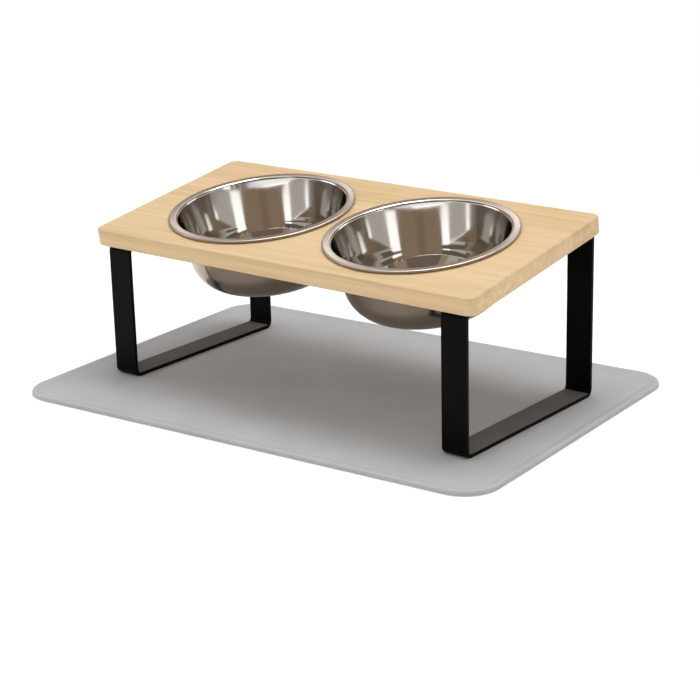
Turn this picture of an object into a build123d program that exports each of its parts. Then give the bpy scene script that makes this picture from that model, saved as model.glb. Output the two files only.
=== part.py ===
"""Elevated cat bowl stand: a sloping bamboo board on two bent strip legs, two steel bowls and a mat.

Millimetres, +Z up, +X along the board, +Y towards the rear. The origin is the centre of the mat's
underside. The board slopes down towards the front.
"""

from build123d import *
import math
import os

# Board, which leaves these margins around the bowls' rims
board_end_margin = 32.75
board_side_margin = 12.25
board_thickness = 15.0
board_tilt = 8.5
board_corner_radius = 9.0
board_edge_radius = 1.8

# Legs, each one flat strip bent in four places
strip_width = 24.0
strip_thickness = 3.2
strip_bend_radius = 3.4
strip_edge_radius = 0.4
front_leg_height = 118.0
leg_front_inset = 5.3
leg_rear_overhang = 3.5
leg_end_inset = 10.5
tab_length = 44.0
tab_corner_radius = 5.0

# Screws through the tabs, two to each tab
screw_first_distance = 16.0
screw_pitch = 18.0
screw_shank_diameter = 3.8
screw_length = 13.0
screw_point_length = 3.0
screw_head_diameter = 8.0
screw_head_height = 2.6
screw_head_radius = 1.4
screw_recess_width = 1.3
screw_recess_length = 4.4
screw_recess_depth = 1.4
screw_hole_clearance = 0.4
pilot_clearance = 0.05
pilot_extra_depth = 0.8

# Bowls, pressed from sheet
bowl_rim_diameter = 163.5
bowl_rim_gap = 7.5
bowl_flange_width = 7.25
bowl_depth = 64.0
bowl_draft = 9.5
bowl_corner_radius = 30.0
bowl_neck_radius = 2.2
bowl_sheet = 0.8
bowl_bead_diameter = 2.6
bowl_seat_gap = 0.3
bowl_hole_clearance = 1.5

# Mat, which leaves these margins around the board
mat_end_margin = 32.1
mat_side_margin = 67.2
mat_thickness = 2.0
mat_height = 4.2
mat_lip_crest = 3.2
mat_lip_slope = 6.0
mat_lip_radius = 2.2
mat_crest_radius = 0.7
mat_base_radius = 0.6
mat_foot_radius = 8.0
mat_corner_radius = 30.0
mat_turn = 3.5

# Where the stand is put down on the mat, forward or back of its middle
stand_y = 1.3

# Sizes that follow from the bowls
bowl_neck_diameter = bowl_rim_diameter - 2 * bowl_flange_width
bowl_spacing = bowl_rim_diameter + bowl_rim_gap
board_length = bowl_spacing + bowl_rim_diameter + 2 * board_end_margin
board_width = bowl_rim_diameter + 2 * board_side_margin
mat_length = board_length + 2 * mat_end_margin
mat_width = board_width + 2 * mat_side_margin

# The board's slope, and the plane of its underside
tilt = math.radians(board_tilt)
board_normal = Vector(0, -math.sin(tilt), math.cos(tilt))
board_uphill = Vector(0, math.cos(tilt), math.sin(tilt))
half_run = board_width / 2 * math.cos(tilt)
front_face_y = stand_y - half_run + leg_front_inset
rear_face_y = stand_y + half_run + leg_rear_overhang


def underside_z(y):
    """Height of the board's underside at a place along Y."""
    return mat_thickness + front_leg_height + (y - front_face_y) * math.tan(tilt)


board_plane = Plane(
    origin=(0, stand_y, underside_z(stand_y)), x_dir=(1, 0, 0), z_dir=board_normal
)
board_top = board_plane.offset(board_thickness)
bowl_hole_radius = bowl_neck_diameter / 2 + bowl_hole_clearance
bowl_centres = [(-bowl_spacing / 2, 0), (bowl_spacing / 2, 0)]

# Leg middles along X, and the height of a strip's middle surface under the board
leg_middle_offset = board_length / 2 - leg_end_inset - strip_width / 2
leg_sides = {"left": -leg_middle_offset, "right": leg_middle_offset}
half_strip = strip_thickness / 2
middle_bend_radius = strip_bend_radius + half_strip


def strip_corner(y):
    """Point on the strip's middle surface where an upright at y meets the line of its tab."""
    return Vector(0, y, underside_z(y) - half_strip / math.cos(tilt))


front_corner = strip_corner(front_face_y + half_strip)
rear_corner = strip_corner(rear_face_y - half_strip)


def screw_seats(leg_x):
    """Planes at the screws of one leg, on the tabs' lower faces, with Z up into the board."""
    distances = [screw_first_distance, screw_first_distance + screw_pitch]
    lower_face = board_normal * -half_strip
    front = [front_corner + board_uphill * d + lower_face for d in distances]
    rear = [rear_corner - board_uphill * d + lower_face for d in distances]
    return [
        Plane(origin=(leg_x, p.Y, p.Z), x_dir=(1, 0, 0), z_dir=board_normal) for p in front + rear
    ]


def save(piece, name):
    """Label a finished piece and write it to its own file."""
    piece.part.label = name
    export_step(piece.part, f"parts/{name}.step")


os.makedirs("parts", exist_ok=True)

# Bamboo board with its two cut-outs and the screws' pilot holes
with BuildPart() as bamboo_board:
    with BuildSketch(board_plane):
        RectangleRounded(board_length, board_width, board_corner_radius)
        with Locations(*bowl_centres):
            Circle(bowl_hole_radius, mode=Mode.SUBTRACT)
    extrude(amount=board_thickness)
    through_board = Axis(board_plane.origin, board_normal)
    fillet(bamboo_board.edges().filter_by(through_board, reverse=True), board_edge_radius)
    pilot_depth = screw_length - strip_thickness + pilot_extra_depth
    for leg_x in leg_sides.values():
        for seat in screw_seats(leg_x):
            with BuildSketch(seat.offset(strip_thickness)):
                Circle(screw_shank_diameter / 2 + pilot_clearance)
            extrude(amount=pilot_depth, mode=Mode.SUBTRACT)
save(bamboo_board, "bamboo_board")

# Legs: the strip's middle line, given the strip's thickness and then its width
for side, leg_x in leg_sides.items():
    with BuildPart() as leg:
        foot_z = mat_thickness + half_strip
        front_tab_end = front_corner + board_uphill * tab_length
        rear_tab_end = rear_corner - board_uphill * tab_length
        strip_points = [
            (front_tab_end.Y, front_tab_end.Z),
            (front_corner.Y, front_corner.Z),
            (front_corner.Y, foot_z),
            (rear_corner.Y, foot_z),
            (rear_corner.Y, rear_corner.Z),
            (rear_tab_end.Y, rear_tab_end.Z),
        ]
        with BuildSketch(Plane.YZ.offset(leg_x)):
            with BuildLine():
                FilletPolyline(*strip_points, radius=middle_bend_radius)
            trace(line_width=strip_thickness)
        extrude(amount=strip_width / 2, both=True)
        tab_ends = leg.faces().filter_by(Axis(front_corner, board_uphill))
        fillet(tab_ends.edges().filter_by(Axis(front_corner, board_normal)), tab_corner_radius)
        fillet(leg.faces().filter_by(Axis.X).edges(), strip_edge_radius)
        for seat in screw_seats(leg_x):
            with BuildSketch(seat):
                Circle(screw_shank_diameter / 2 + screw_hole_clearance)
            extrude(amount=strip_thickness, mode=Mode.SUBTRACT)
    save(leg, f"{side}_leg")

# Pan-head screws of each leg, turned from a profile with a cross recess in the head
for side, leg_x in leg_sides.items():
    with BuildPart() as screws:
        for seat in screw_seats(leg_x):
            section = Plane(origin=seat.origin, x_dir=(1, 0, 0), z_dir=-board_uphill)
            with BuildSketch(section):
                with BuildLine():
                    Polyline(
                        (0, -screw_head_height),
                        (screw_head_diameter / 2, -screw_head_height),
                        (screw_head_diameter / 2, 0),
                        (screw_shank_diameter / 2, 0),
                        (screw_shank_diameter / 2, screw_length - screw_point_length),
                        (0, screw_length),
                        close=True,
                    )
                make_face()
            revolve(axis=Axis(seat.origin, board_normal))
            head_rim = screws.edges().filter_by(GeomType.CIRCLE).sort_by_distance(
                seat.origin - board_normal * screw_head_height + seat.x_dir * screw_head_diameter / 2
            )[0]
            fillet(head_rim, screw_head_radius)
            with BuildSketch(seat.offset(-screw_head_height)):
                Rectangle(screw_recess_length, screw_recess_width)
                Rectangle(screw_recess_width, screw_recess_length)
            extrude(amount=screw_recess_depth, mode=Mode.SUBTRACT)
    save(screws, f"{side}_leg_screws")

# Bowls: the sheet's middle line from the floor up the wall and out along the flange, then the
# rolled edge, all turned about the bowl's own axis
bead_radius = bowl_bead_diameter / 2
half_sheet = bowl_sheet / 2
flange_height = bowl_seat_gap + bowl_bead_diameter - half_sheet
floor_height = -bowl_depth + half_sheet
draft = math.tan(math.radians(bowl_draft))
neck_middle_radius = bowl_neck_diameter / 2 - half_sheet
bead_middle_radius = bowl_rim_diameter / 2 - bead_radius
sheet_points = [
    (0, floor_height),
    (neck_middle_radius + floor_height * draft, floor_height),
    (neck_middle_radius + flange_height * draft, flange_height),
    (bead_middle_radius, flange_height),
]
for side, (centre_x, centre_y) in zip(("left", "right"), bowl_centres):
    with BuildPart() as bowl:
        bowl_origin = board_top.from_local_coords(Vector(centre_x, centre_y, 0))
        bowl_section = Plane(origin=bowl_origin, x_dir=(1, 0, 0), z_dir=-board_uphill)
        with BuildSketch(bowl_section):
            with BuildLine():
                FilletPolyline(*sheet_points, radius=(bowl_corner_radius, bowl_neck_radius))
            trace(line_width=bowl_sheet)
            with Locations((bead_middle_radius, bowl_seat_gap + bead_radius)):
                Circle(bead_radius)
        revolve(axis=Axis(bowl_origin, board_normal))
    save(bowl, f"{side}_bowl")

# Feeding mat: a plate with rounded rims, whose middle is cut down to the floor with a slope up to
# the lip's crest
with BuildPart() as feeding_mat:
    mat_plane = Plane.XY.rotated((0, 0, mat_turn))
    with BuildSketch(mat_plane):
        RectangleRounded(mat_length, mat_width, mat_corner_radius)
    extrude(amount=mat_height)
    fillet(feeding_mat.faces().sort_by(Axis.Z)[-1].edges(), mat_lip_radius)
    fillet(feeding_mat.faces().sort_by(Axis.Z)[0].edges(), mat_base_radius)
    slope_edges = {mat_thickness: mat_lip_crest + mat_lip_slope, mat_height: mat_lip_crest}
    for height, inset in slope_edges.items():
        with BuildSketch(mat_plane.offset(height)):
            RectangleRounded(
                mat_length - 2 * inset, mat_width - 2 * inset, mat_corner_radius - inset
            )
    loft(mode=Mode.SUBTRACT)
    crest = feeding_mat.faces().filter_by(Axis.Z).sort_by(Axis.Z)[-1]
    fillet(crest.inner_wires()[0].edges(), mat_crest_radius)
    floor_face = feeding_mat.faces().filter_by(Axis.Z).sort_by(Axis.Z)[1]
    fillet(floor_face.edges(), mat_foot_radius)
save(feeding_mat, "feeding_mat")
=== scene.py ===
"""Looks of the elevated cat bowl stand: bamboo board, black strip legs, steel bowls, silicone mat.

Metres, +Z up, the origin in the middle of the mat's underside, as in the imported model.
"""

import math

import bpy
import numpy as np
from mathutils import Matrix, Vector


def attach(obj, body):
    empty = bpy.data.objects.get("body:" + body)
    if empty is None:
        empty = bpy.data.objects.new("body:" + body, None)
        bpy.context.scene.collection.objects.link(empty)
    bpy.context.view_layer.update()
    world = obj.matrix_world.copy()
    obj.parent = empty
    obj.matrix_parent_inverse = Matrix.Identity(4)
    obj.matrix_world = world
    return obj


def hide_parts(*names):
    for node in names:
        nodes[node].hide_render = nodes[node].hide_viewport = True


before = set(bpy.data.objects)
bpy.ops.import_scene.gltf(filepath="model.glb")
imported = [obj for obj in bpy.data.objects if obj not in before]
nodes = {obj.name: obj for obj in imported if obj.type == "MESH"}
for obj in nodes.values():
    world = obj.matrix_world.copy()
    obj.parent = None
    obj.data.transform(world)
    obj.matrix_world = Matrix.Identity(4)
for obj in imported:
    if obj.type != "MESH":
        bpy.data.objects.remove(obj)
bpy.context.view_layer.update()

# The board's slope and the middle of its top face
TILT = math.radians(8.5)
BOARD_TOP = np.array([0.0, -0.000917, 0.147937])
ALONG = np.array([1.0, 0.0, 0.0])
UPHILL = np.array([0.0, math.cos(TILT), math.sin(TILT)])
NORMAL = np.array([0.0, -math.sin(TILT), math.cos(TILT)])
BOWL_OFFSET = 0.0855

# The camera's view ahead and to its right, made level
VIEW_AHEAD = np.array([-0.6244, 0.7811, 0.0])
VIEW_RIGHT = np.array([0.7811, 0.6244, 0.0])


# Camera

def place_camera():
    """The photograph's view: a long lens from the front right, a little above the board."""
    azimuth, elevation, roll = (math.radians(angle) for angle in (38.635, 17.745, -1.385))
    distance, shift_right, shift_down = 1.59632, 0.007471, 0.037488
    focal_pixels, picture_pixels = 1870.83, 700
    back = Vector((
        math.sin(azimuth) * math.cos(elevation),
        -math.cos(azimuth) * math.cos(elevation),
        math.sin(elevation),
    ))
    level = Vector((math.cos(azimuth), math.sin(azimuth), 0))
    upright = back.cross(level)
    right = level * math.cos(roll) + upright * math.sin(roll)
    up = upright * math.cos(roll) - level * math.sin(roll)
    target = Vector((0.0, -0.000917, 0.07403))
    place = target + back * distance + right * shift_right - up * shift_down
    data = bpy.data.cameras.new("camera")
    data.sensor_width = 36.0
    data.lens = focal_pixels / picture_pixels * data.sensor_width
    data.clip_start = 0.05
    camera = bpy.data.objects.new("camera", data)
    camera.matrix_world = Matrix((
        (right.x, up.x, back.x, place.x),
        (right.y, up.y, back.y, place.y),
        (right.z, up.z, back.z, place.z),
        (0, 0, 0, 1),
    ))
    bpy.context.collection.objects.link(camera)
    bpy.context.scene.camera = camera


# Small helpers for materials

def feed(tree, socket, value):
    """Links the value to the socket where it is a socket too, and otherwise sets it there."""
    if isinstance(value, bpy.types.NodeSocket):
        tree.links.new(value, socket)
    else:
        socket.default_value = value


def add(tree, kind, settings=None, **inputs):
    """Adds a node with its settings, and feeds its inputs by name, or by number after a _."""
    node = tree.nodes.new(kind)
    for name, value in (settings or {}).items():
        setattr(node, name, value)
    for name, value in inputs.items():
        key = int(name[1:]) if name[0] == "_" else name.replace("_", " ")
        feed(tree, node.inputs[key], value)
    return node


def math_node(tree, operation, *values):
    """One Math node on up to three values or sockets."""
    inputs = {f"_{i}": value for i, value in enumerate(values)}
    return add(tree, "ShaderNodeMath", {"operation": operation}, **inputs).outputs[0]


def mix_colours(tree, factor, first, second, blend="MIX"):
    """The first colour, with the second blended into it by factor."""
    node = add(tree, "ShaderNodeMix", {"data_type": "RGBA", "blend_type": blend}, _0=factor)
    for key, colour in ((6, first), (7, second)):
        feed(tree, node.inputs[key], (*colour, 1.0) if isinstance(colour, tuple) else colour)
    return node.outputs[2]


def map_range(tree, value, from_low, from_high, to_low, to_high):
    """A linear change of range, clamped at both ends."""
    return add(
        tree, "ShaderNodeMapRange", None,
        _0=value, _1=from_low, _2=from_high, _3=to_low, _4=to_high,
    ).outputs[0]


def new_group(name, inputs, outputs):
    """A shader node group with named number or vector sockets, and its inner input and output."""
    group = bpy.data.node_groups.new(name, "ShaderNodeTree")
    for label, kind, value in inputs:
        socket = group.interface.new_socket(label, in_out="INPUT", socket_type=kind)
        if value is not None:
            socket.default_value = value
    for label, kind in outputs:
        group.interface.new_socket(label, in_out="OUTPUT", socket_type=kind)
    return group, group.nodes.new("NodeGroupInput"), group.nodes.new("NodeGroupOutput")


def use_group(tree, group, **inputs):
    """The group placed in a material with its own values."""
    node = tree.nodes.new("ShaderNodeGroup")
    node.node_tree = group
    for name, value in inputs.items():
        feed(tree, node.inputs[name.replace("_", " ")], value)
    return node.outputs


def new_material(name):
    """An empty material with its surface shader and output joined."""
    material = bpy.data.materials.new(name)
    material.use_nodes = True
    tree = material.node_tree
    tree.nodes.clear()
    surface = tree.nodes.new("ShaderNodeBsdfPrincipled")
    output = tree.nodes.new("ShaderNodeOutputMaterial")
    tree.links.new(surface.outputs[0], output.inputs[0])
    return material, tree, surface


def relief(tree, surface, height, strength, distance):
    """Fine relief on a surface: a bump of the given depth in metres from a pattern of 0 to 1."""
    bump = add(tree, "ShaderNodeBump", None, Strength=strength, Distance=distance, Height=height)
    tree.links.new(bump.outputs[0], surface.inputs["Normal"])


def place_vector(tree, turn=(0, 0, 0), origin=(0, 0, 0)):
    """Object coordinates moved so that origin is at zero, then turned."""
    coordinates = add(tree, "ShaderNodeTexCoord").outputs["Object"]
    shifted = add(
        tree, "ShaderNodeVectorMath", {"operation": "SUBTRACT"}, _0=coordinates, _1=origin
    ).outputs[0]
    return add(tree, "ShaderNodeMapping", None, Vector=shifted, Rotation=turn).outputs[0]


def dress(piece, material):
    """Gives every face of a piece the material."""
    piece.data.materials.clear()
    piece.data.materials.append(material)


# Effects that several materials share

NUMBER, VECTOR = "NodeSocketFloat", "NodeSocketVector"


def make_mottle():
    """Slow blotches and fine specks from two noises, both put out from 0 to 1."""
    group, inner, outer = new_group(
        "mottle",
        [("Vector", VECTOR, None), ("Blotches per metre", NUMBER, 12.0),
         ("Specks per metre", NUMBER, 900.0)],
        [("Blotches", NUMBER), ("Specks", NUMBER)],
    )
    blotches = add(
        group, "ShaderNodeTexNoise", None, Vector=inner.outputs[0], Scale=inner.outputs[1],
        Detail=3.0, Roughness=0.55,
    )
    specks = add(
        group, "ShaderNodeTexNoise", None, Vector=inner.outputs[0], Scale=inner.outputs[2],
        Detail=2.0, Roughness=0.6,
    )
    group.links.new(blotches.outputs[0], outer.inputs[0])
    group.links.new(specks.outputs[0], outer.inputs[1])
    return group


def make_fibres():
    """Long fibres along X: a noise squeezed along X, once broad and once fine."""
    group, inner, outer = new_group(
        "fibres",
        [("Vector", VECTOR, None), ("Streaks per metre", NUMBER, 160.0),
         ("Fibres per metre", NUMBER, 1100.0), ("Stretch", NUMBER, 0.035)],
        [("Streaks", NUMBER), ("Fibres", NUMBER)],
    )
    squeeze = add(
        group, "ShaderNodeCombineXYZ", None, _0=inner.outputs[3], _1=1.0, _2=1.0
    ).outputs[0]
    long_vector = add(
        group, "ShaderNodeVectorMath", {"operation": "MULTIPLY"}, _0=inner.outputs[0], _1=squeeze
    ).outputs[0]
    streaks = add(
        group, "ShaderNodeTexNoise", None, Vector=long_vector, Scale=inner.outputs[1],
        Detail=4.0, Roughness=0.6, Distortion=0.25,
    )
    fibres = add(
        group, "ShaderNodeTexNoise", None, Vector=long_vector, Scale=inner.outputs[2],
        Detail=3.0, Roughness=0.7,
    )
    group.links.new(streaks.outputs[0], outer.inputs[0])
    group.links.new(fibres.outputs[0], outer.inputs[1])
    return group


# Materials

def bamboo(mottle, fibres):
    """Lacquered bamboo: strips glued side by side along X in three layers, fine fibres, slow colour
    changes, and every face below the top painted lighter than the top, as painted light on the
    sides."""
    material, tree, surface = new_material("bamboo_lacquered")
    vector = place_vector(tree, (-TILT, 0, 0), tuple(BOARD_TOP))
    soft = use_group(tree, mottle, Vector=vector, Blotches_per_metre=9.0, Specks_per_metre=1400.0)
    grain = use_group(tree, fibres, Vector=vector)
    _, uphill, above = add(tree, "ShaderNodeSeparateXYZ", None, Vector=vector).outputs
    strip_width, layer_thickness, painted_side_from, painted_side_to = 0.0235, 0.005, -0.0024, -0.0008
    strip_weight, streak_weight, fibre_weight, layer_weight = 0.22, 0.9, 0.25, 0.16
    pale, deep, warm = (0.74, 0.56, 0.325), (0.56, 0.38, 0.185), (0.75, 0.51, 0.31)
    # How much lighter the sides are painted than the top: painted light, not a paler wood.
    painted_side_light = (1.24, 1.23, 1.2)
    # A small part of a layer that keeps the first joint just below the top face
    below_face = 0.02
    strip = math_node(tree, "MULTIPLY", uphill, 1 / strip_width)
    strip_number = math_node(tree, "FLOOR", strip)
    strip_shade = add(
        tree, "ShaderNodeTexWhiteNoise", {"noise_dimensions": "1D"}, W=strip_number
    ).outputs[0]
    tone = math_node(tree, "MULTIPLY", strip_shade, strip_weight)
    tone = math_node(tree, "MULTIPLY_ADD", grain[0], streak_weight, tone)
    tone = math_node(tree, "MULTIPLY_ADD", grain[1], fibre_weight, tone)
    layer = math_node(tree, "MULTIPLY_ADD", above, 1 / layer_thickness, below_face)
    layer_number = math_node(tree, "FLOOR", layer)
    layer_shade = add(
        tree, "ShaderNodeTexWhiteNoise", {"noise_dimensions": "2D"},
        Vector=add(tree, "ShaderNodeCombineXYZ", None, _0=layer_number, _1=0.5).outputs[0],
    ).outputs[0]
    tone = math_node(tree, "MULTIPLY_ADD", layer_shade, layer_weight, tone)
    wood = mix_colours(tree, map_range(tree, tone, 0.49, 1.0, 0.0, 1.0), pale, deep)
    warmth = map_range(tree, soft[0], 0.42, 0.66, 0.0, 0.45)
    wood = mix_colours(tree, warmth, wood, warm)
    # Painted light: every face below the top is made lighter, for the light that falls on the
    # sides.
    painted_side_mask = map_range(tree, above, painted_side_from, painted_side_to, 1.0, 0.0)
    wood = mix_colours(tree, painted_side_mask, wood, painted_side_light, "MULTIPLY")
    tree.links.new(wood, surface.inputs["Base Color"])
    rough = map_range(tree, grain[1], 0.3, 0.7, 0.40, 0.54)
    tree.links.new(rough, surface.inputs["Roughness"])
    surface.inputs["Specular IOR Level"].default_value = 0.45
    relief(tree, surface, grain[1], strength=0.35, distance=0.00015)
    return material


def powder_coat(mottle):
    """Satin black powder coat with a fine orange peel, and on its level faces a light grey that is
    a little dust and partly a painted sheen.
    """
    material, tree, surface = new_material("powder_coat_black")
    vector = place_vector(tree)
    skin = use_group(tree, mottle, Vector=vector, Blotches_per_metre=25.0, Specks_per_metre=1800.0)
    shade = map_range(tree, skin[0], 0.3, 0.7, 0.0, 1.0)
    deep_black, soft_black, dust_and_sheen_grey = (0.0008,) * 3, (0.002,) * 3, (0.155, 0.152, 0.148)
    black = mix_colours(tree, shade, deep_black, soft_black)
    # Level faces turn light grey: a little dust, and partly a painted sheen for the light that the
    # bars' tops reflect.
    facing = add(tree, "ShaderNodeNewGeometry").outputs["Normal"]
    level = add(tree, "ShaderNodeSeparateXYZ", None, Vector=facing).outputs[2]
    dust_and_sheen = math_node(
        tree, "MULTIPLY", map_range(tree, level, 0.9, 1.0, 0.0, 1.0),
        map_range(tree, skin[0], 0.2, 0.8, 0.7, 1.0),
    )
    black = mix_colours(tree, dust_and_sheen, black, dust_and_sheen_grey)
    tree.links.new(black, surface.inputs["Base Color"])
    tree.links.new(map_range(tree, skin[1], 0.3, 0.7, 0.36, 0.48), surface.inputs["Roughness"])
    surface.inputs["Specular IOR Level"].default_value = 0.06
    relief(tree, surface, skin[1], strength=0.3, distance=0.00006)
    return material


def black_zinc(mottle):
    """Black zinc on the screws: a dark metal with small cloudy spots."""
    material, tree, surface = new_material("zinc_black")
    vector = place_vector(tree)
    spots = use_group(
        tree, mottle, Vector=vector, Blotches_per_metre=300.0, Specks_per_metre=3000.0
    )
    shade = map_range(tree, spots[0], 0.35, 0.65, 0.0, 1.0)
    dark, cloudy = (0.035, 0.035, 0.038), (0.075, 0.073, 0.07)
    metal = mix_colours(tree, shade, dark, cloudy)
    tree.links.new(metal, surface.inputs["Base Color"])
    tree.links.new(map_range(tree, spots[1], 0.3, 0.7, 0.28, 0.45), surface.inputs["Roughness"])
    surface.inputs["Metallic"].default_value = 0.9
    return material


def silicone(mottle):
    """Matte grey silicone with a powdery bloom."""
    material, tree, surface = new_material("silicone_grey")
    vector = place_vector(tree)
    bloom = use_group(tree, mottle, Vector=vector, Blotches_per_metre=14.0, Specks_per_metre=1200.0)
    shade = map_range(tree, bloom[0], 0.3, 0.7, 0.0, 1.0)
    dark_grey, pale_grey = (0.445, 0.449, 0.450), (0.485, 0.490, 0.491)
    grey = mix_colours(tree, shade, dark_grey, pale_grey)
    tree.links.new(grey, surface.inputs["Base Color"])
    tree.links.new(map_range(tree, bloom[1], 0.3, 0.7, 0.55, 0.68), surface.inputs["Roughness"])
    surface.inputs["Specular IOR Level"].default_value = 0.35
    relief(tree, surface, bloom[1], strength=0.25, distance=0.00008)
    return material


def steel(mottle):
    """Stainless steel: polished inside the bowl, satin on the flange, and a dark brown where the
    outside
    mark is set: a painted dark reflection outside and a painted shadow on the rolled edge's lower
    half.
    """
    material, tree, surface = new_material("steel_polished")
    vector = place_vector(tree)
    marks = use_group(tree, mottle, Vector=vector, Blotches_per_metre=40.0, Specks_per_metre=2500.0)
    satin, outside = (
        add(tree, "ShaderNodeAttribute", {"attribute_name": kind}).outputs["Fac"]
        for kind in ("satin", "outside")
    )
    # The dark brown stands in for light: a painted dark reflection outside, and a painted shadow
    # under the rim.
    polished, brushed, painted_dark_reflection = (0.80, 0.785, 0.77), (0.75, 0.695, 0.66), (0.37, 0.295, 0.235)
    metal = mix_colours(tree, outside, mix_colours(tree, satin, polished, brushed), painted_dark_reflection)
    tree.links.new(metal, surface.inputs["Base Color"])
    polished_rough, satin_rough, mark_rough = 0.03, 0.48, 0.04
    rough = map_range(tree, satin, 0.0, 1.0, polished_rough, satin_rough)
    rough = math_node(tree, "MULTIPLY_ADD", marks[0], mark_rough, rough)
    tree.links.new(rough, surface.inputs["Roughness"])
    surface.inputs["Metallic"].default_value = 1.0
    surface.inputs["Anisotropic"].default_value = 0.6
    tangent = add(tree, "ShaderNodeTangent", {"direction_type": "UV_MAP", "uv_map": "around"})
    tree.links.new(tangent.outputs[0], surface.inputs["Tangent"])
    return material


# Surfaces made of rings

def ring_faces(rings, steps):
    """Faces over rings of points about a middle: a quad between neighbours of two rings, and a fan
    from the first ring to the middle, whose point comes after the rings."""
    row, step = np.meshgrid(np.arange(rings - 1), np.arange(steps), indexing="ij")
    after = (step + 1) % steps
    inner, outer = row * steps, (row + 1) * steps
    quads = np.stack([outer + step, outer + after, inner + after, inner + step], -1)
    spin = np.arange(steps)
    fan = np.stack([spin, (spin + 1) % steps, np.full(steps, rings * steps)], 1)
    return quads.reshape(-1, 4).tolist() + fan.tolist()


def lay_map(mesh, around, up):
    """A UV map from each point's share of a full turn and its way along the profile. On the faces
    that close the turn, a share near 0 counts as one whole turn more."""
    corners = np.empty(len(mesh.loops), dtype=np.int32)
    mesh.loops.foreach_get("vertex_index", corners)
    uv = np.stack([around[corners], up[corners]], 1)
    starts = np.empty(len(mesh.polygons), dtype=np.int32)
    sizes = np.empty(len(mesh.polygons), dtype=np.int32)
    mesh.polygons.foreach_get("loop_start", starts)
    mesh.polygons.foreach_get("loop_total", sizes)
    highest = np.repeat(np.maximum.reduceat(uv[:, 0], starts), sizes)
    uv[:, 0] += (highest - uv[:, 0] > 0.5)
    layer = mesh.uv_layers.new(name="around")
    layer.data.foreach_set("uv", uv.astype(np.float32).ravel())


# Bowls

def arc(centre, radius, start, end, count):
    """Points on a circle from one angle to another, in degrees, both ends included."""
    angle = np.radians(np.linspace(start, end, count))
    return np.stack([centre[0] + radius * np.cos(angle), centre[1] + radius * np.sin(angle)], 1)


def bowl_profile():
    """Radius and height of the bowl's whole skin, from the middle of the floor up the inside, over
    the flange and its rolled edge, and back down the outside, with each point's satin value, from
    0, polished, to 1, and its outside mark, 0 or 1, which gives a painted dark reflection and, on
    the rolled edge's lower half, a painted shadow. Walls are lines at the draft angle, joined to
    the floor and to the flange by arcs; inner and outer skins lie half a sheet each side of the
    same middle line."""
    draft, half = math.radians(9.5), 0.0004
    floor, neck, corner, fold = -0.0636, 0.0741, 0.030, 0.0022
    flange, bead, bead_at, under_bead = 0.0025, 0.0013, 0.08045, 0.07925
    corner_z = floor + corner
    corner_r = neck + corner_z * math.tan(draft) - corner / math.cos(draft)
    fold_z = flange - fold
    fold_r = neck + fold_z * math.tan(draft) + fold / math.cos(draft)
    low, high = -90.0, -math.degrees(draft)
    turn = 180.0 - math.degrees(draft)
    parts = [
        # Inside: the floor, then its rounding, satin low down and polished from there up
        (np.stack([np.linspace(0.0, corner_r, 14)[:-1], np.full(13, floor + half)], 1), 0.6, 0.0),
        (arc((corner_r, corner_z), corner - half, low, -46.0, 22), 0.5, 0.0),
        (arc((corner_r, corner_z), corner - half, -42.0, high, 18), 0.0, 0.0),
        # The fold, which turns satin near the top, the flange and its rolled edge
        (arc((fold_r, fold_z), fold + half, turn, 122.0, 9), 0.1, 0.0),
        (arc((fold_r, fold_z), fold + half, 118.0, 90.0, 9), 0.9, 0.0),
        (np.stack([np.linspace(fold_r, bead_at, 8)[1:-1], np.full(6, flange + half)], 1), 1.0, 0.0),
        (arc((bead_at, flange + half - bead), bead, 90.0, 34.0, 10), 0.8, 0.0),
        # The rolled edge from just under its top round its underside: the outside mark, a painted
        # shadow where the rim stands over the board
        (arc((bead_at, flange + half - bead), bead, 26.0, -202.6, 28), 0.4, 1.0),
        # Outside: under the flange, the fold, the wall with its rounding, and the floor, all with
        # the outside mark for the painted dark reflection
        (np.stack([np.linspace(under_bead, fold_r, 6)[1:-1], np.full(4, flange - half)], 1),
         1.0, 1.0),
        (arc((fold_r, fold_z), fold - half, 90.0, turn, 12), 0.2, 1.0),
        (arc((corner_r, corner_z), corner + half, high, low, 40), 0.2, 1.0),
        (np.stack([np.linspace(corner_r, 0.0, 14)[1:], np.full(13, floor - half)], 1), 0.2, 1.0),
    ]
    line = np.concatenate([points for points, _, _ in parts])
    satin = np.concatenate([np.full(len(points), value) for points, value, _ in parts])
    outside = np.concatenate([np.full(len(points), value) for points, _, value in parts])
    return line, {"satin": satin, "outside": outside}


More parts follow.
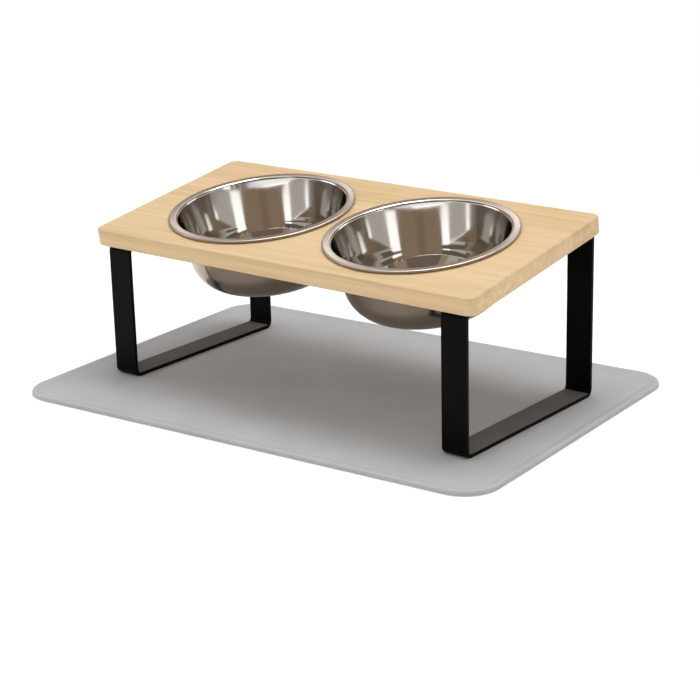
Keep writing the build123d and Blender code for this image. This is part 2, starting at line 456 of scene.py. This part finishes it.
def bowl_surface(name, side):
    """A bowl turned about its axis: the point at angle a and radius r lies at r cos a along the
    board and r sin a uphill from the axis, at its profile's height along the board's normal."""
    line, finish_and_painted_shade = bowl_profile()
    steps, rings = 320, len(line) - 2
    angle = np.linspace(0, 2 * math.pi, steps, endpoint=False)
    radius, height = line[1:-1, 0], line[1:-1, 1]
    along = radius[:, None] * np.cos(angle)[None, :]
    uphill = radius[:, None] * np.sin(angle)[None, :]
    centre = BOARD_TOP + ALONG * side * BOWL_OFFSET
    skin = (
        centre + along[..., None] * ALONG + uphill[..., None] * UPHILL
        + height[:, None, None] * NORMAL
    ).reshape(-1, 3)
    poles = [centre + line[0, 1] * NORMAL, centre + line[-1, 1] * NORMAL]
    last_ring, last_pole = (rings - 1) * steps, rings * steps + 1
    spin = np.arange(steps)
    turned = (spin + 1) % steps
    close = np.stack([last_ring + turned, last_ring + spin, np.full(steps, last_pole)], 1)
    faces = ring_faces(rings, steps) + close.tolist()
    mesh = bpy.data.meshes.new(name)
    mesh.from_pydata(np.vstack([skin, poles]).tolist(), [], faces)
    mesh.update()
    length = np.concatenate([[0], np.cumsum(np.hypot(*np.diff(line, axis=0).T))])
    round_the_bowl = np.concatenate([np.tile(angle / (2 * math.pi), rings), [0.0, 0.0]])
    up_the_wall = np.concatenate([np.repeat(length[1:-1], steps), [0.0, length[-1]]])
    lay_map(mesh, round_the_bowl, up_the_wall)
    # The satin values and the outside mark, which carries the painted dark reflection and the
    # painted shadow under the rim, go onto the points.
    for kind, values in finish_and_painted_shade.items():
        layer = mesh.attributes.new(kind, "FLOAT", "POINT")
        spread = np.concatenate([np.repeat(values[1:-1], steps), values[[0, -1]]])
        layer.data.foreach_set("value", spread.astype(np.float32))
    mesh.polygons.foreach_set("use_smooth", np.ones(len(mesh.polygons), dtype=bool))
    mesh.update()
    piece = bpy.data.objects.new(name, mesh)
    bpy.context.collection.objects.link(piece)
    return piece


# Studio

def lamp(name, place, target, size, power, mirrored):
    """A soft lamp that faces the target, and shows in reflections or not."""
    data = bpy.data.lights.new(name, "AREA")
    data.shape = "RECTANGLE"
    data.size, data.size_y = size
    data.energy = power
    light = bpy.data.objects.new(name, data)
    light.location = place
    light.rotation_mode = "QUATERNION"
    light.rotation_quaternion = (Vector(place) - Vector(target)).to_track_quat("Z", "Y")
    light.visible_glossy = mirrored
    bpy.context.collection.objects.link(light)


def white_to_the_eye(tree):
    """1 for the rays that look straight at a thing, in a mirror or through glass, otherwise 0."""
    path = add(tree, "ShaderNodeLightPath")
    seen = math_node(tree, "MAXIMUM", path.outputs["Is Camera Ray"], path.outputs["Is Glossy Ray"])
    return math_node(tree, "MAXIMUM", seen, path.outputs["Is Transmission Ray"])


def make_world(light_level):
    """Plain white to the eye, and an even soft light at the given level."""
    world = bpy.data.worlds.new("studio")
    world.use_nodes = True
    tree = world.node_tree
    tree.nodes.clear()
    eye = white_to_the_eye(tree)
    strength = map_range(tree, eye, 0.0, 1.0, light_level, 1.0)
    sky = add(tree, "ShaderNodeBackground", None, Color=(1, 1, 1, 1), Strength=strength)
    output = tree.nodes.new("ShaderNodeOutputWorld")
    tree.links.new(sky.outputs[0], output.inputs[0])
    bpy.context.scene.world = world


def glowing(name, glow):
    """A material that only glows, in one plain colour."""
    material = bpy.data.materials.new(name)
    material.use_nodes = True
    tree = material.node_tree
    tree.nodes.clear()
    light = add(tree, "ShaderNodeEmission", None, Color=(*glow, 1), Strength=1.0)
    output = tree.nodes.new("ShaderNodeOutputMaterial")
    tree.links.new(light.outputs[0], output.inputs[0])
    return material


def screen(name, bearings, heights, glow, away):
    """A curved screen that only shows in reflections, between two bearings in degrees, clockwise
    from the way the camera looks, and two heights in degrees above the floor: the point at bearing
    b and height e lies at away (sin b, cos b, tan e) in the camera's own right, forward and up."""
    steps = 24
    bearing = np.radians(np.linspace(*bearings, steps))
    foot = away * (np.sin(bearing)[:, None] * VIEW_RIGHT + np.cos(bearing)[:, None] * VIEW_AHEAD)
    points = np.concatenate([foot + (0, 0, away * math.tan(math.radians(e))) for e in heights])
    faces = [(i, i + 1, steps + i + 1, steps + i) for i in range(steps - 1)]
    mesh = bpy.data.meshes.new(name)
    mesh.from_pydata(points.tolist(), [], faces)
    panel = bpy.data.objects.new(name, mesh)
    for ray in ("camera", "diffuse", "transmission", "volume_scatter", "shadow"):
        setattr(panel, f"visible_{ray}", False)
    bpy.context.collection.objects.link(panel)
    dress(panel, glowing(f"{name}_cloth", glow))


def floor_surface():
    """A flat round floor just under the mat: radius from 0 to its edge, angle over a full turn."""
    steps, rings = 96, 12
    edge, height = 3.0, -0.0004
    radius = np.linspace(0.0, edge, rings + 1)[1:]
    angle = np.linspace(0, 2 * math.pi, steps, endpoint=False)
    ring = np.stack([
        radius[:, None] * np.cos(angle), radius[:, None] * np.sin(angle),
        np.full((rings, steps), height),
    ], -1).reshape(-1, 3)
    points = np.vstack([ring, [(0.0, 0.0, height)]])
    mesh = bpy.data.meshes.new("floor")
    mesh.from_pydata(points.tolist(), [], ring_faces(rings, steps))
    floor = bpy.data.objects.new("floor", mesh)
    bpy.context.collection.objects.link(floor)
    return floor


def floor_material():
    """White paper that keeps the shadow near the object and turns to plain white further out."""
    material, tree, surface = new_material("floor_white")
    surface.inputs["Base Color"].default_value = (0.80, 0.80, 0.80, 1)
    surface.inputs["Roughness"].default_value = 0.9
    surface.inputs["Specular IOR Level"].default_value = 0.0
    eye = white_to_the_eye(tree)
    vector = place_vector(tree)
    flat = add(
        tree, "ShaderNodeVectorMath", {"operation": "MULTIPLY"}, _0=vector, _1=(1, 1, 0)
    ).outputs[0]
    reach = add(tree, "ShaderNodeVectorMath", {"operation": "LENGTH"}, _0=flat).outputs["Value"]
    near, far = 0.45, 1.1
    plain = map_range(tree, reach, near, far, 0.0, 1.0)
    glow = add(tree, "ShaderNodeEmission", None, Color=(1, 1, 1, 1), Strength=1.0)
    lift = add(tree, "ShaderNodeEmission", None, Color=(1, 1, 1, 1), Strength=0.30)
    lit = add(tree, "ShaderNodeAddShader", None, _0=surface.outputs[0], _1=lift.outputs[0])
    seen = add(
        tree, "ShaderNodeMixShader", None, _0=plain, _1=lit.outputs[0], _2=glow.outputs[0]
    )
    whole = add(
        tree, "ShaderNodeMixShader", None, _0=eye, _1=surface.outputs[0], _2=seen.outputs[0]
    )
    output = next(node for node in tree.nodes if node.bl_idname == "ShaderNodeOutputMaterial")
    tree.links.new(whole.outputs[0], output.inputs[0])
    return material


place_camera()
mottle = make_mottle()
fibres = make_fibres()
dress(nodes["bamboo_board"], bamboo(mottle, fibres))
coat = powder_coat(mottle)
dress(nodes["left_leg"], coat)
dress(nodes["right_leg"], coat)
zinc = black_zinc(mottle)
dress(nodes["left_leg_screws"], zinc)
dress(nodes["right_leg_screws"], zinc)
dress(nodes["feeding_mat"], silicone(mottle))
bowl_steel = steel(mottle)
for side, name in ((-1, "left_bowl"), (1, "right_bowl")):
    bowl = bowl_surface(f"{name}_pressed", side)
    dress(bowl, bowl_steel)
    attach(bowl, name)
    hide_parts(name)

bpy.context.scene.view_settings.view_transform = "Standard"
make_world(light_level=0.61)

# What the polished steel mirrors: name, bearings, heights, glow and distance of each screen
BROWN, SHADE, DARK = (0.30, 0.22, 0.15), (0.245, 0.18, 0.125), (0.15, 0.12, 0.09)
MIDDLING, PALE, CEILING = (0.42, 0.37, 0.32), (0.54, 0.52, 0.48), (0.76, 0.70, 0.645)
LIGHT, WHITE = (0.9, 0.88, 0.85), (1.65, 1.65, 1.65)
FAR, NEARER = 5.0, 4.9
SCREENS = [
    ("ceiling", (-180, 180), (62, 86), CEILING, FAR),
    ("wall_behind", (-12, 10), (0, 62), SHADE, FAR),
    ("wall_behind_left", (-62, -12), (0, 62), BROWN, FAR),
    ("wall_behind_right", (10, 58), (0, 62), BROWN, FAR),
    ("box_left", (-88, -62), (0, 26), WHITE, FAR),
    ("wall_over_box_left", (-88, -62), (26, 62), BROWN, FAR),
    ("cloth_left", (-125.5, -88), (0, 18.5), PALE, FAR),
    ("wall_over_cloth_left", (-125.5, -88), (18.5, 62), DARK, FAR),
    ("low_cloth_left", (-136, -125.5), (0, 11), PALE, FAR),
    ("wall_over_low_cloth", (-136, -125.5), (11, 62), MIDDLING, FAR),
    ("strip_left", (-143, -136), (0, 9), WHITE, FAR),
    ("wall_over_strip_left", (-143, -136), (9, 62), MIDDLING, FAR),
    ("box_right", (58, 79), (0, 32), WHITE, FAR),
    ("wall_over_box_right", (58, 79), (32, 62), DARK, FAR),
    ("cloth_right", (79, 127), (0, 31), PALE, FAR),
    ("wall_over_cloth_right", (79, 127), (31, 62), DARK, FAR),
    ("strip_right", (127, 137), (0, 20), WHITE, FAR),
    ("wall_over_strip_right", (127, 137), (20, 62), DARK, FAR),
    ("low_wall_front_right", (137, 157), (0, 21), DARK, FAR),
    ("wall_front_right", (137, 157), (21, 62), BROWN, FAR),
    ("wall_front", (157, 207), (0, 62), DARK, FAR),
    ("low_wall_front_left", (207, 217), (0, 13), DARK, FAR),
    ("wall_front_left", (207, 217), (13, 62), BROWN, FAR),
    ("rod_right", (141.5, 143.5), (0, 21), LIGHT, NEARER),
    ("rod_far_right", (150, 152), (0, 21), PALE, NEARER),
    ("rod_far_left", (-158, -156), (0, 9), PALE, NEARER),
]
for row in SCREENS:
    screen(*row)
dress(floor_surface(), floor_material())

# Soft lamps: name, place, what it faces, size, watts, and whether it shows in reflections
LAMPS = [
    ("overhead", (0.14, 0.1, 1.45), (0, 0, 0.1), (0.7, 0.7), 10.9, True),
    ("left_window", (-1.6, -0.6, 0.9), (0, 0, 0.05), (1.0, 0.8), 4.8, False),
    ("right_fill", (1.2, -1.4, 1.1), (0, 0, 0.05), (1.0, 0.8), 2.9, False),
]
for row in LAMPS:
    lamp(*row)
